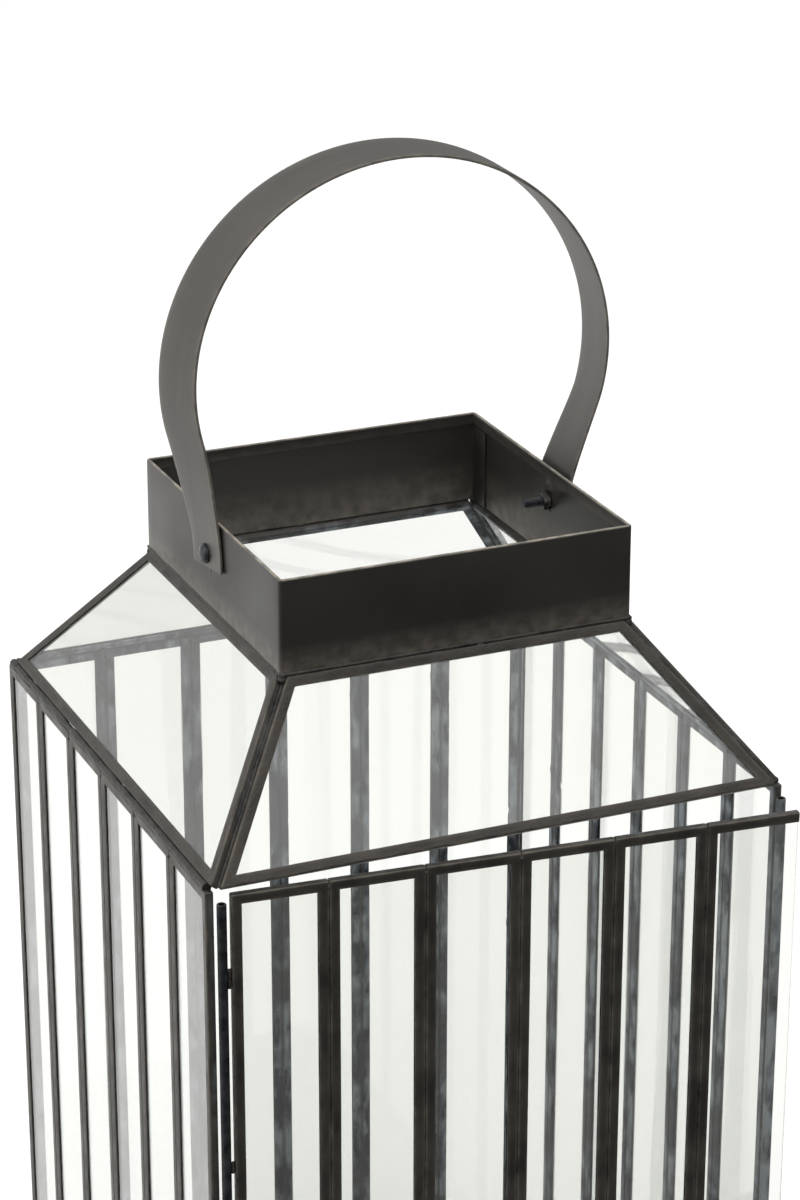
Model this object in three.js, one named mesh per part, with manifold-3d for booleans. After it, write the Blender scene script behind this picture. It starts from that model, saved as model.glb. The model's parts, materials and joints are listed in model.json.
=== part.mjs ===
// Candle lantern: a glazed steel box with a hipped glass roof, an open sheet collar and a strap handle.
// Millimetres. X is left to right, -Y is the door side and +Z is up.
// The origin is the middle of the underside.
import * as THREE from "three";
import { mergeVertices } from "three/addons/utils/BufferGeometryUtils.js";
import Module from "manifold-3d";

const wasm = await Module();
wasm.setup();

// ---- driving dimensions -------------------------------------------------------------------------

// Body
const BODY_WIDTH = 254; // across the outside of the two side walls
const FRONT_SETBACK = 5.8; // side walls end this far short of a square, for the door
const WALL_HEIGHT = 375; // ground to the top of the walls
const STRIPS = 6; // glass strips in each wall and in the door

// Came, the U-channel that is folded round every strip of glass
const CAME_THICKNESS = 3.6; // through the wall
const CAME_FACE = 4.4; // width of its face on one strip
const CAME_WEB = 0.8; // metal at the bottom of the channel
const GLASS = 2; // glass thickness
const FIT = 0.3; // gap between pieces that are soldered or seated

// Base
const FLOOR_SHEET = 1.2;
const RIM_SHEET = 1;
const RIM_HEIGHT = 14;

// Roof and collar
const EAVES_SETBACK = 2; // eaves in from the outside of the walls
const ROOF_RISE = 62.8; // eaves to the foot of the collar
const ROOF_SEAT = 0.6; // solder line between the walls and the roof
const COLLAR_WIDTH = 154.8;
const COLLAR_HEIGHT = 40.6;
const COLLAR_SHEET = 1;
const COLLAR_CORNER = 2; // outside radius of its folds
const HEM_HEIGHT = 5; // rim folded back on the inside
const LAP_WIDTH = 13; // the strip's end, lapped in the back right corner

// Handle
const STRAP_WIDTH = 32;
const STRAP_SHEET = 1.5;
const STRAP_FOOT = 5.8; // bolt axis to the cut end
const STRAP_PAD = 3; // flat length above the bolt axis
const LOOP_BULGE = 16.1; // the loop's inside is this much wider than the collar, on each side
const LOOP_HALF_HEIGHT = 86.5;
const LOOP_RISE = 69.7; // bolt axis to the centre of the loop
const LOOP_DRIFT = 7.8; // the loop is bent a little to the right: its centre from the middle
const LOOP_TILT = 3; // degrees that the loop is bent over to the right
const LOOP_FLARE = 1.9; // the loop is slightly conical: wider at the back edge, tighter in front
const HANDLE_LEAN = 8; // degrees that the handle stands back from upright
const BOLT_HEIGHT = 24.9; // above the foot of the collar

// M4 bolt and nut
const BOLT_DIAMETER = 4;
const BOLT_LENGTH = 14.5; // under the head
const HEAD_DIAMETER = 8.4;
const HEAD_HEIGHT = 2.8;
const NUT_ACROSS_FLATS = 7;
const NUT_HEIGHT = 3.2;
const BOLT_CLEARANCE = 0.3; // radial, in the strap, the collar and the nut

// Door and its hinge
const DOOR_FREE_GAP = 1.1; // free edge to the line of the right wall's inside
const DOOR_GROUND_GAP = 3;
const DOOR_HEAD_GAP = 0.8; // below the top of the walls
const DOOR_AJAR = 5; // degrees open as it stands
const BARREL_DIAMETER = 4;
const BARREL_WALL = 0.85;
const WIRE_CLEARANCE = 0.1; // radial, in the bore of the barrels
const BARREL_BEHIND = 0.2; // the barrels stand this far out of the door's back
const BARREL_GAP = 1.4; // barrel to door stile, bridged by solder
const UPPER_BARREL = 138;
const KNUCKLE = 84;
const BARREL_TOP_GAP = 4; // door top to the top of the barrel
const BARREL_END_GAP = 1;

// Jamb tube on the free side, and the wire latch in its foot
const JAMB_WALL = 0.8;
const JAMB_FOOT = 12; // ground to its lower end
const LATCH_WIRE = 2;
const LATCH_CLEARANCE = 0.3; // radial, in the jamb tube
const LATCH_UPRIGHT = 26;
const LATCH_OFFSET = 3.4; // axis to the finger
const LATCH_FINGER = 14;
const LATCH_HEIGHT = 5.6;

// ---- places worked out from them ----------------------------------------------------------------

const half = BODY_WIDTH / 2;
const backFace = half; // outside of the back wall
const sideWallDepth = BODY_WIDTH - FRONT_SETBACK;
const sideFront = backFace - sideWallDepth; // front edge of the side walls
const innerFace = half - CAME_THICKNESS; // inside of the side walls

const roofWidth = BODY_WIDTH - 2 * EAVES_SETBACK; // square of the eaves
const roofSlope = Math.atan2(ROOF_RISE, (roofWidth - COLLAR_WIDTH) / 2);
const eaveHeight = WALL_HEIGHT + ROOF_SEAT + CAME_THICKNESS * Math.cos(roofSlope);
const collarFoot = eaveHeight + ROOF_RISE + FIT;
const boltAxis = collarFoot + BOLT_HEIGHT;

const barrelBore = BARREL_DIAMETER - 2 * BARREL_WALL;
const hingeX = -(innerFace - FIT - BARREL_DIAMETER / 2);
const doorBack = sideFront - FIT; // back face of the closed door
const doorMiddle = doorBack - CAME_THICKNESS / 2;
const hingeY = doorBack + BARREL_BEHIND - BARREL_DIAMETER / 2;
const doorLeft = hingeX + BARREL_DIAMETER / 2 + BARREL_GAP;
const doorWidth = innerFace - DOOR_FREE_GAP - doorLeft;
const doorTop = WALL_HEIGHT - DOOR_HEAD_GAP;
const doorHeight = doorTop - DOOR_GROUND_GAP;

// ---- helpers ------------------------------------------------------------------------------------

// A closed three.js geometry as a manifold solid, for cutting and joining.
function solid(geometry) {
  const bare = geometry.clone();
  bare.deleteAttribute("normal");
  bare.deleteAttribute("uv");
  const merged = mergeVertices(bare, 1e-4);
  return new wasm.Manifold(
    new wasm.Mesh({
      numProp: 3,
      vertProperties: merged.attributes.position.array,
      triVerts: new Uint32Array(merged.index.array),
    }),
  );
}

function geometryOf(manifold) {
  const mesh = manifold.getMesh();
  const geometry = new THREE.BufferGeometry();
  geometry.setAttribute("position", new THREE.BufferAttribute(mesh.vertProperties, 3));
  geometry.setIndex(new THREE.BufferAttribute(mesh.triVerts, 1));
  geometry.computeVertexNormals();
  return geometry;
}

// A box between two corners.
function block(x0, y0, z0, x1, y1, z1) {
  const box = new THREE.BoxGeometry(x1 - x0, y1 - y0, z1 - z0);
  return box.translate((x0 + x1) / 2, (y0 + y1) / 2, (z0 + z1) / 2);
}

// An upright round bar from z0 to z1.
function bar(diameter, z0, z1, sides = 24) {
  const cylinder = new THREE.CylinderGeometry(diameter / 2, diameter / 2, z1 - z0, sides);
  return cylinder.rotateX(Math.PI / 2).translate(0, 0, (z0 + z1) / 2);
}

// An upright tube from z0 to z1.
function tube(outer, bore, z0, z1) {
  const profile = [
    new THREE.Vector2(bore / 2, z0),
    new THREE.Vector2(outer / 2, z0),
    new THREE.Vector2(outer / 2, z1),
    new THREE.Vector2(bore / 2, z1),
    new THREE.Vector2(bore / 2, z0),
  ];
  return new THREE.LatheGeometry(profile, 24).rotateX(Math.PI / 2);
}

function material(name, color, roughness, metalness) {
  const made = new THREE.MeshStandardMaterial({ color, roughness, metalness });
  made.name = name;
  return made;
}

const blackSheet = material("blackened_sheet", 0x3a3835, 0.5, 0.8);
const blackCame = material("blackened_came", 0x34322f, 0.5, 0.8);
const strapSteel = material("strap_steel", 0x66645f, 0.45, 0.85);
const hardware = material("dark_hardware", 0x2e3033, 0.4, 0.9);
const glass = material("clear_glass", 0xe9ece6, 0.05, 0);
glass.transparent = true;
glass.opacity = 0.35;

const lantern = new THREE.Group();

function add(parent, name, geometry, finish) {
  const mesh = new THREE.Mesh(geometry, finish);
  mesh.name = name;
  parent.add(mesh);
  return mesh;
}

// ---- glazed panels ------------------------------------------------------------------------------

// A row of glass strips, each in its own folded came, the cames soldered side by side.
// The panel spans x 0..width and z 0..height, and is centred on y = 0.
// With a bare edge, the last strip has no came down its right side.
function stripPanel(width, height, bareEdge) {
  const pitch = width / STRIPS;
  const slot = GLASS / 2 + FIT;
  let frame = solid(block(0, -CAME_THICKNESS / 2, 0, width, CAME_THICKNESS / 2, height));
  const panes = [];
  for (let i = 0; i < STRIPS; i += 1) {
    const open = bareEdge && i === STRIPS - 1;
    const left = i * pitch;
    const right = left + pitch;
    const windowRight = open ? right + CAME_FACE : right - CAME_FACE;
    const slotRight = open ? right + CAME_FACE : right - CAME_WEB;
    const opening = block(
      left + CAME_FACE, -CAME_THICKNESS, CAME_FACE, windowRight, CAME_THICKNESS, height - CAME_FACE,
    );
    const channel = block(left + CAME_WEB, -slot, CAME_WEB, slotRight, slot, height - CAME_WEB);
    frame = frame.subtract(solid(opening)).subtract(solid(channel));
    const edge = CAME_WEB + FIT;
    const paneRight = open ? right : right - edge;
    panes.push(block(left + edge, -GLASS / 2, edge, paneRight, GLASS / 2, height - edge));
  }
  return { frame: geometryOf(frame), panes };
}

function addPanel(parent, name, panel) {
  add(parent, `${name}_frame`, panel.frame, blackCame);
  panel.panes.forEach((pane, i) => add(parent, `${name}_glass_${i + 1}`, pane, glass));
}

// Side walls, standing on the ground line and running the full depth.
for (const [name, x] of [["left_wall", -half], ["right_wall", half - CAME_THICKNESS]]) {
  const wall = new THREE.Group();
  wall.position.set(x + CAME_THICKNESS / 2, sideFront, 0);
  wall.rotation.z = Math.PI / 2;
  addPanel(wall, name, stripPanel(sideWallDepth, WALL_HEIGHT, false));
  lantern.add(wall);
}

// Back wall, between the side walls.
const backWall = new THREE.Group();
backWall.position.set(-(innerFace - FIT), backFace - CAME_THICKNESS / 2, 0);
addPanel(backWall, "back_wall", stripPanel(2 * (innerFace - FIT), WALL_HEIGHT, false));
lantern.add(backWall);

// ---- base ---------------------------------------------------------------------------------------

// A shallow sheet tray between the walls. Its front rim is the sill that the door closes on.
const trayHalf = innerFace - FIT;
const trayBack = backFace - CAME_THICKNESS - FIT;
const trayBody = solid(block(-trayHalf, sideFront, 0, trayHalf, trayBack, RIM_HEIGHT));
const trayHollow = solid(
  block(
    -trayHalf + RIM_SHEET, sideFront + RIM_SHEET, FLOOR_SHEET,
    trayHalf - RIM_SHEET, trayBack - RIM_SHEET, RIM_HEIGHT + 1,
  ),
);
add(lantern, "base_tray", geometryOf(trayBody.subtract(trayHollow)), blackSheet);

// ---- roof ---------------------------------------------------------------------------------------

// One sloping pane in its came. The outline is drawn on the outer face, u across and v up the slope,
// and its square-cut side edges meet the next pane's only at the inside of the hip.
function roofOutline(inset) {
  const slant = ROOF_RISE / Math.sin(roofSlope);
  const setBack = CAME_THICKNESS * Math.sin(roofSlope) + FIT / 2;
  const hip = (v) => roofWidth / 2 - v * Math.cos(roofSlope) - setBack;
  const sideInset = inset / Math.cos(Math.atan(Math.cos(roofSlope)));
  const low = inset;
  const high = slant - inset;
  return new THREE.Shape([
    new THREE.Vector2(-hip(low) + sideInset, low),
    new THREE.Vector2(hip(low) - sideInset, low),
    new THREE.Vector2(hip(high) - sideInset, high),
    new THREE.Vector2(-hip(high) + sideInset, high),
  ]);
}

// A plate on that outline, from depth d0 to d1 below the outer face.
function roofPlate(inset, d0, d1) {
  const plate = new THREE.ExtrudeGeometry(roofOutline(inset), { depth: d1 - d0, bevelEnabled: false });
  return plate.translate(0, 0, -d1);
}

function roofFrame() {
  const slotTop = (CAME_THICKNESS - GLASS) / 2 - FIT;
  const opening = roofPlate(CAME_FACE, -1, CAME_THICKNESS + 1);
  const channel = roofPlate(CAME_WEB, slotTop, CAME_THICKNESS - slotTop);
  const frame = solid(roofPlate(0, 0, CAME_THICKNESS)).subtract(solid(opening)).subtract(solid(channel));
  return geometryOf(frame);
}

function roofPane() {
  const top = (CAME_THICKNESS - GLASS) / 2;
  return roofPlate(CAME_WEB + FIT, top, top + GLASS);
}

const roofSides = [["front", 0], ["right", 1], ["back", 2], ["left", 3]];
for (const [side, quarter] of roofSides) {
  const turn = new THREE.Group();
  turn.rotation.z = (quarter * Math.PI) / 2;
  const slope = new THREE.Group();
  slope.position.set(0, -roofWidth / 2, eaveHeight);
  slope.rotation.x = roofSlope;
  turn.add(slope);
  add(slope, `roof_${side}_frame`, roofFrame(), blackCame);
  add(slope, `roof_${side}_glass`, roofPane(), glass);
  lantern.add(turn);
}

// ---- collar -------------------------------------------------------------------------------------

// A square with rounded corners.
function roundedSquare(size, radius, Kind) {
  const h = size / 2;
  const outline = new Kind();
  outline.moveTo(h, -h + radius);
  outline.absarc(h - radius, h - radius, radius, 0, Math.PI / 2);
  outline.absarc(-h + radius, h - radius, radius, Math.PI / 2, Math.PI);
  outline.absarc(-h + radius, -h + radius, radius, Math.PI, 1.5 * Math.PI);
  outline.absarc(h - radius, -h + radius, radius, 1.5 * Math.PI, 2 * Math.PI);
  return outline;
}

// A band of the collar, from z0 to z1 and some sheets thick.
function collarBand(z0, z1, sheets) {
  const outline = roundedSquare(COLLAR_WIDTH, COLLAR_CORNER, THREE.Shape);
  const wall = COLLAR_SHEET * sheets;
  const innerCorner = Math.max(COLLAR_CORNER - wall, 0.2);
  outline.holes.push(roundedSquare(COLLAR_WIDTH - 2 * wall, innerCorner, THREE.Path));
  const band = new THREE.ExtrudeGeometry(outline, {
    depth: z1 - z0, bevelEnabled: false, curveSegments: 5,
  });
  return band.translate(0, 0, z0);
}

// A round bar along X, through both side walls, on the bolt axis.
function crossBar(diameter, length) {
  return bar(diameter, -length / 2, length / 2).rotateY(Math.PI / 2).translate(0, 0, boltAxis);
}

const boltHole = BOLT_DIAMETER + 2 * BOLT_CLEARANCE;
const collarTop = collarFoot + COLLAR_HEIGHT;
const insideCollar = COLLAR_WIDTH / 2 - COLLAR_SHEET;
const lap = block(
  insideCollar - COLLAR_SHEET, insideCollar - LAP_WIDTH, collarFoot,
  insideCollar + COLLAR_SHEET / 2, insideCollar, collarTop - HEM_HEIGHT / 2,
);
const collar = solid(collarBand(collarFoot, collarTop, 1))
  .add(solid(collarBand(collarTop - HEM_HEIGHT, collarTop, 2)))
  .add(solid(lap))
  .subtract(solid(crossBar(boltHole, 2 * COLLAR_WIDTH)));
add(lantern, "collar", geometryOf(collar), blackSheet);

// ---- handle -------------------------------------------------------------------------------------

// A point on the inside of the loop, across and above the bolt axis, at an angle round it.
// The loop is an ellipse pushed over to the right. Its edges run a little inside or outside it.
function loopPoint(angle, flare) {
  const above = (LOOP_HALF_HEIGHT + flare) * Math.sin(angle);
  const along = (COLLAR_WIDTH / 2 + LOOP_BULGE + flare) * Math.cos(angle);
  const pushed = LOOP_DRIFT + Math.tan(THREE.MathUtils.degToRad(LOOP_TILT)) * above;
  return new THREE.Vector2(pushed + along, LOOP_RISE + above);
}

// The inner line of one edge of the strap, from the left foot over the crown to the right foot.
// Each foot is flat on the collar. Each leg curves from there into the loop.
function strapLine(flare) {
  const padX = COLLAR_WIDTH / 2 + FIT;
  const legSteps = 8;
  const loopSteps = 52;
  const loopStart = THREE.MathUtils.degToRad(15); // below the middle of the loop
  const leg = (sign) => {
    const angle = sign > 0 ? -loopStart : Math.PI + loopStart;
    const joinsAt = loopPoint(angle, flare);
    const beyond = loopPoint(angle + sign * 0.01, flare);
    const rise = joinsAt.y - STRAP_PAD;
    const leaves = new THREE.Vector2(sign * padX, STRAP_PAD);
    const pull = beyond.clone().sub(joinsAt).normalize().multiplyScalar(rise / 6);
    const curve = new THREE.CubicBezierCurve(
      leaves, leaves.clone().add(new THREE.Vector2(0, rise / 6)), joinsAt.clone().sub(pull), joinsAt,
    );
    return [new THREE.Vector2(sign * padX, -STRAP_FOOT), ...curve.getPoints(legSteps)];
  };
  const crown = [];
  for (let i = 1; i < loopSteps; i += 1) {
    crown.push(loopPoint(Math.PI + loopStart - ((Math.PI + 2 * loopStart) * i) / loopSteps, flare));
  }
  return [...leg(-1), ...crown, ...leg(1).reverse()];
}

// The way out of the loop at each point of a line, square to it.
function outwards(line) {
  return line.map((point, i) => {
    if (i < 2) return new THREE.Vector2(-1, 0);
    if (i > line.length - 3) return new THREE.Vector2(1, 0);
    const run = line[i + 1].clone().sub(line[i - 1]).normalize();
    return new THREE.Vector2(-run.y, run.x);
  });
}

// The whole strap as one swept band: four corners at each station, capped at both feet.
function strapGeometry() {
  const corners = [];
  const edges = [[-STRAP_WIDTH / 2, strapLine(-LOOP_FLARE)], [STRAP_WIDTH / 2, strapLine(LOOP_FLARE)]];
  const normals = edges.map(([, line]) => outwards(line));
  const stations = normals[0].length;
  for (let i = 0; i < stations; i += 1) {
    edges.forEach(([y, line], k) => {
      const outer = line[i].clone().addScaledVector(normals[k][i], STRAP_SHEET);
      corners.push(line[i].x, y, line[i].y, outer.x, y, outer.y);
    });
  }
  // Corner order at a station: inner front, outer front, inner back, outer back.
  const faces = [];
  const quad = (a, b, c, d) => faces.push(a, c, b, a, d, c);
  for (let i = 0; i < stations - 1; i += 1) {
    const a = 4 * i;
    const b = a + 4;
    quad(a + 1, b + 1, b, a);
    quad(a + 3, b + 3, b + 1, a + 1);
    quad(a + 2, b + 2, b + 3, a + 3);
    quad(a, b, b + 2, a + 2);
  }
  const end = 4 * (stations - 1);
  quad(0, 2, 3, 1);
  quad(end, end + 1, end + 3, end + 2);
  const geometry = new THREE.BufferGeometry();
  geometry.setAttribute("position", new THREE.Float32BufferAttribute(corners, 3));
  geometry.setIndex(faces);
  geometry.computeVertexNormals();
  return geometry;
}

const handle = new THREE.Group();
handle.position.z = boltAxis;
handle.rotation.x = -THREE.MathUtils.degToRad(HANDLE_LEAN);
lantern.add(handle);
const strapHoles = bar(boltHole, -COLLAR_WIDTH, COLLAR_WIDTH).rotateY(Math.PI / 2);
const strap = solid(strapGeometry()).subtract(solid(strapHoles));
add(handle, "handle_strap", geometryOf(strap), strapSteel);

// A pan-head bolt, head at the bottom and shank up +Z, with the underside of its head at z = 0.
function panBolt() {
  const profile = [
    new THREE.Vector2(0, -HEAD_HEIGHT),
    new THREE.Vector2(HEAD_DIAMETER * 0.22, -HEAD_HEIGHT * 0.94),
    new THREE.Vector2(HEAD_DIAMETER * 0.38, -HEAD_HEIGHT * 0.72),
    new THREE.Vector2(HEAD_DIAMETER * 0.48, -HEAD_HEIGHT * 0.35),
    new THREE.Vector2(HEAD_DIAMETER / 2, 0),
    new THREE.Vector2(BOLT_DIAMETER / 2, 0),
    new THREE.Vector2(BOLT_DIAMETER / 2, BOLT_LENGTH - 0.5),
    new THREE.Vector2(BOLT_DIAMETER / 2 - 0.5, BOLT_LENGTH),
    new THREE.Vector2(0, BOLT_LENGTH),
  ];
  return new THREE.LatheGeometry(profile, 24).rotateX(Math.PI / 2);
}

function hexNut() {
  const radius = NUT_ACROSS_FLATS / 2 / Math.cos(Math.PI / 6);
  const nut = solid(bar(2 * radius, 0, NUT_HEIGHT, 6)).subtract(solid(bar(boltHole, -1, NUT_HEIGHT + 1)));
  return geometryOf(nut);
}

// One bolt and nut on each side, clamping the strap's foot to the collar.
for (const [side, sign] of [["left", -1], ["right", 1]]) {
  const outside = COLLAR_WIDTH / 2 + FIT + STRAP_SHEET + FIT;
  const fixing = new THREE.Group();
  fixing.position.z = boltAxis;
  fixing.rotation.y = (-sign * Math.PI) / 2;
  lantern.add(fixing);
  const bolt = add(fixing, `handle_bolt_${side}`, panBolt(), hardware);
  bolt.position.z = -outside;
  const nut = add(fixing, `handle_nut_${side}`, hexNut(), hardware);
  nut.position.z = -(insideCollar - FIT);
}

// ---- hinge --------------------------------------------------------------------------------------

const upperTop = doorTop - BARREL_TOP_GAP;
const upperFoot = upperTop - UPPER_BARREL;
const knuckleTop = upperFoot - BARREL_END_GAP;
const knuckleFoot = knuckleTop - KNUCKLE;
const lowerTop = knuckleFoot - BARREL_END_GAP;
const lowerFoot = DOOR_GROUND_GAP + BARREL_TOP_GAP;

const hinge = new THREE.Group();
hinge.position.set(hingeX, hingeY, 0);
lantern.add(hinge);
add(hinge, "hinge_knuckle", tube(BARREL_DIAMETER, barrelBore, knuckleFoot, knuckleTop), hardware);
add(hinge, "hinge_wire", bar(barrelBore - 2 * WIRE_CLEARANCE, lowerFoot + 1, upperTop - 1), hardware);

// ---- door ---------------------------------------------------------------------------------------

const door = new THREE.Group();
door.position.copy(hinge.position);
door.rotation.z = -THREE.MathUtils.degToRad(DOOR_AJAR);
lantern.add(door);
add(door, "hinge_barrel_upper", tube(BARREL_DIAMETER, barrelBore, upperFoot, upperTop), hardware);
add(door, "hinge_barrel_lower", tube(BARREL_DIAMETER, barrelBore, lowerFoot, lowerTop), hardware);
const leaf = new THREE.Group();
leaf.position.set(doorLeft - hingeX, doorMiddle - hingeY, DOOR_GROUND_GAP);
door.add(leaf);
addPanel(leaf, "door", stripPanel(doorWidth, doorHeight, true));

// ---- jamb tube and latch ------------------------------------------------------------------------

const jambBore = LATCH_WIRE + 2 * LATCH_CLEARANCE;
const jambDiameter = jambBore + 2 * JAMB_WALL;
const jamb = new THREE.Group();
jamb.position.set(half - CAME_THICKNESS / 2, sideFront - FIT - jambDiameter / 2, 0);
lantern.add(jamb);
add(jamb, "jamb_tube", tube(jambDiameter, jambBore, JAMB_FOOT, doorTop - BARREL_TOP_GAP), hardware);

// A bent wire: its upright turns in the foot of the tube, and its finger swings across the door.
// As drawn it stands open, with the crank to the right and the finger pointing forwards.
const wireBar = (length) => bar(LATCH_WIRE, 0, length, 16);
const elbow = () => new THREE.SphereGeometry(LATCH_WIRE / 2, 16, 8);
const latchWire = solid(wireBar(LATCH_UPRIGHT).translate(0, 0, LATCH_HEIGHT))
  .add(solid(elbow().translate(0, 0, LATCH_HEIGHT)))
  .add(solid(wireBar(LATCH_OFFSET).rotateY(Math.PI / 2).translate(0, 0, LATCH_HEIGHT)))
  .add(solid(elbow().translate(LATCH_OFFSET, 0, LATCH_HEIGHT)))
  .add(solid(wireBar(LATCH_FINGER).rotateX(Math.PI / 2).translate(LATCH_OFFSET, 0, LATCH_HEIGHT)));
add(jamb, "latch_wire", geometryOf(latchWire), hardware);

export default lantern;
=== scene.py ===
import json
import math

import bmesh
import bpy
from mathutils import Matrix, Vector


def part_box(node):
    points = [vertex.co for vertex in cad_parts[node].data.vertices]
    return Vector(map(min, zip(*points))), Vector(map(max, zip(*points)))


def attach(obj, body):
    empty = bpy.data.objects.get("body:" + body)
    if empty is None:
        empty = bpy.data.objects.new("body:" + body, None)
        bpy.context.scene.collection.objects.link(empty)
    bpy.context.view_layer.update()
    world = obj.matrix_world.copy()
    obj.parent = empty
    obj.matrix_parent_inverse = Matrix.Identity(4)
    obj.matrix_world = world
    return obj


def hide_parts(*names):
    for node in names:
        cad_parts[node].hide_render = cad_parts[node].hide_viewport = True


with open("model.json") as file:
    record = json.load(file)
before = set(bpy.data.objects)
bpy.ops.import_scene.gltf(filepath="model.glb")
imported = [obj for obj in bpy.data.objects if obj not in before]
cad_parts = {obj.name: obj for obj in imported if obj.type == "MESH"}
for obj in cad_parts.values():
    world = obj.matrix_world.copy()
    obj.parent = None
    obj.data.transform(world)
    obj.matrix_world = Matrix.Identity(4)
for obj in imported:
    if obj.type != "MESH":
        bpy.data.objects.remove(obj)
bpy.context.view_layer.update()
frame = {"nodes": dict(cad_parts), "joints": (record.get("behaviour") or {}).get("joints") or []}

mm = 0.001
joints = {joint["name"]: joint for joint in frame["joints"]}

# ---- Camera -------------------------------------------------------------------------------------
# A long lens a good metre away, to the left of the door and above the roof, looking down into the
# collar. The foot of the lantern falls below the picture.


def added(name, data):
    """A new object of the scene that holds this data."""
    made = bpy.data.objects.new(name, data)
    bpy.context.scene.collection.objects.link(made)
    return made


camera_place = Vector((-0.5598, -1.3083, 1.0066))
camera_azimuth = math.radians(-22.89)
camera_height = math.radians(22.303)
camera_roll = math.radians(-0.154)
back = Vector((
    math.sin(camera_azimuth) * math.cos(camera_height),
    -math.cos(camera_azimuth) * math.cos(camera_height),
    math.sin(camera_height),
))
level = (-back).cross(Vector((0, 0, 1))).normalized()
upright = level.cross(-back)
across = level * math.cos(camera_roll) + upright * math.sin(camera_roll)
above = upright * math.cos(camera_roll) - level * math.sin(camera_roll)

camera = added("camera", bpy.data.cameras.new("camera"))
camera.data.lens = 109.08
camera.data.sensor_width = 36
camera.data.shift_x = 0.0274
camera.data.shift_y = 0.0173
turn = Matrix((across, above, back)).transposed().to_4x4()
camera.matrix_world = Matrix.Translation(camera_place) @ turn
bpy.context.scene.camera = camera

# ---- Studio -------------------------------------------------------------------------------------
# A pale floor that runs out of sight, in a room that is dark in front, bright low down behind the
# left side, and lit softly from above.

bpy.context.scene.view_settings.view_transform = "Standard"


def new_node(tree, kind, values=None, **settings):
    """A new node of a tree, with these settings and these values on its inputs."""
    made = tree.nodes.new(kind)
    for name, setting in settings.items():
        setattr(made, name, setting)
    for socket, value in (values or {}).items():
        made.inputs[socket].default_value = value
    return made


def chain(tree, *sockets):
    """Links sockets in pairs, each output to the input after it."""
    for start, end in zip(sockets[::2], sockets[1::2]):
        tree.links.new(start, end)


def studio_room(glow_from, ramp, ceiling):
    world = bpy.data.worlds.new("studio")
    world.use_nodes = True
    tree = world.node_tree
    direction = new_node(tree, "ShaderNodeTexCoord")
    towards = new_node(tree, "ShaderNodeVectorMath", {1: Vector(glow_from).normalized()},
                       operation="DOT_PRODUCT")
    share = new_node(tree, "ShaderNodeMapRange", {"From Min": -1})
    levels = new_node(tree, "ShaderNodeValToRGB")
    levels.color_ramp.interpolation = "EASE"
    for place, level in ramp[1:-1]:
        levels.color_ramp.elements.new(place).color = (level, level, level, 1)
    for index, (place, level) in ((0, ramp[0]), (-1, ramp[-1])):
        levels.color_ramp.elements[index].position = place
        levels.color_ramp.elements[index].color = (level, level, level, 1)
    parts = new_node(tree, "ShaderNodeSeparateXYZ")
    overhead = new_node(tree, "ShaderNodeMapRange", {"From Min": 0.1, "From Max": 0.95, "To Max": ceiling},
                        interpolation_type="SMOOTHSTEP")
    total = new_node(tree, "ShaderNodeMath")
    background = tree.nodes["Background"]
    background.inputs["Color"].default_value = (1, 0.995, 0.985, 1)
    chain(tree, direction.outputs["Generated"], towards.inputs[0], towards.outputs["Value"],
          share.inputs["Value"], share.outputs[0], levels.inputs["Fac"], direction.outputs["Generated"],
          parts.inputs[0], parts.outputs["Z"], overhead.inputs["Value"], levels.outputs["Color"],
          total.inputs[0], overhead.outputs[0], total.inputs[1], total.outputs[0],
          background.inputs["Strength"])
    bpy.context.scene.world = world


def soft_light(name, place, aim, width, height, power):
    light = bpy.data.lights.new(name, "AREA")
    light.shape = "RECTANGLE"
    light.size, light.size_y = width, height
    light.energy = power
    lamp = added(name, light)
    lamp.location = place
    lamp.rotation_euler = (Vector(place) - Vector(aim)).to_track_quat("Z", "Y").to_euler()


studio_levels = ((0.0, 0.08), (0.45, 0.18), (0.75, 0.5), (0.9, 0.95), (1.0, 1.5))
studio_room((-0.45, 0.85, -0.3), studio_levels, 0.95)
soft_light("left_softbox", (-2.4, 0.2, 1.2), (0, 0, 0.35), 1.2, 1.6, 16)
soft_light("overhead", (0.5, -1.2, 3.4), (0, 0, 0), 4, 4, 66)

floor_mesh = bmesh.new()
bmesh.ops.create_grid(floor_mesh, x_segments=1, y_segments=1, size=30)
floor = added("floor", bpy.data.meshes.new("floor"))
floor_mesh.to_mesh(floor.data)
floor_mesh.free()
paper = bpy.data.materials.new("studio_paper")
paper.use_nodes = True
paper_shader = paper.node_tree.nodes["Principled BSDF"]
paper_shader.inputs["Base Color"].default_value = (0.8, 0.8, 0.8, 1)
paper_shader.inputs["Roughness"].default_value = 0.9
paper_shader.inputs["Emission Color"].default_value = (1, 1, 1, 1)
paper_shader.inputs["Emission Strength"].default_value = 0.18
floor.data.materials.append(paper)
floor.visible_glossy = False

# ---- Blackened came -----------------------------------------------------------------------------
# Thin brass strip folded to a U round the edge of each pane, blackened outside by a brushed patina.
# The fold lines wear to a dull brown, and the inside of the lantern stays a mottled tin grey.


def blank_material(name):
    """A material, its nodes, its principled shader, and the place of a point on the object."""
    made = bpy.data.materials.new(name)
    made.use_nodes = True
    tree = made.node_tree
    spot = new_node(tree, "ShaderNodeTexCoord").outputs["Object"]
    return made, tree, tree.nodes["Principled BSDF"], spot


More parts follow.
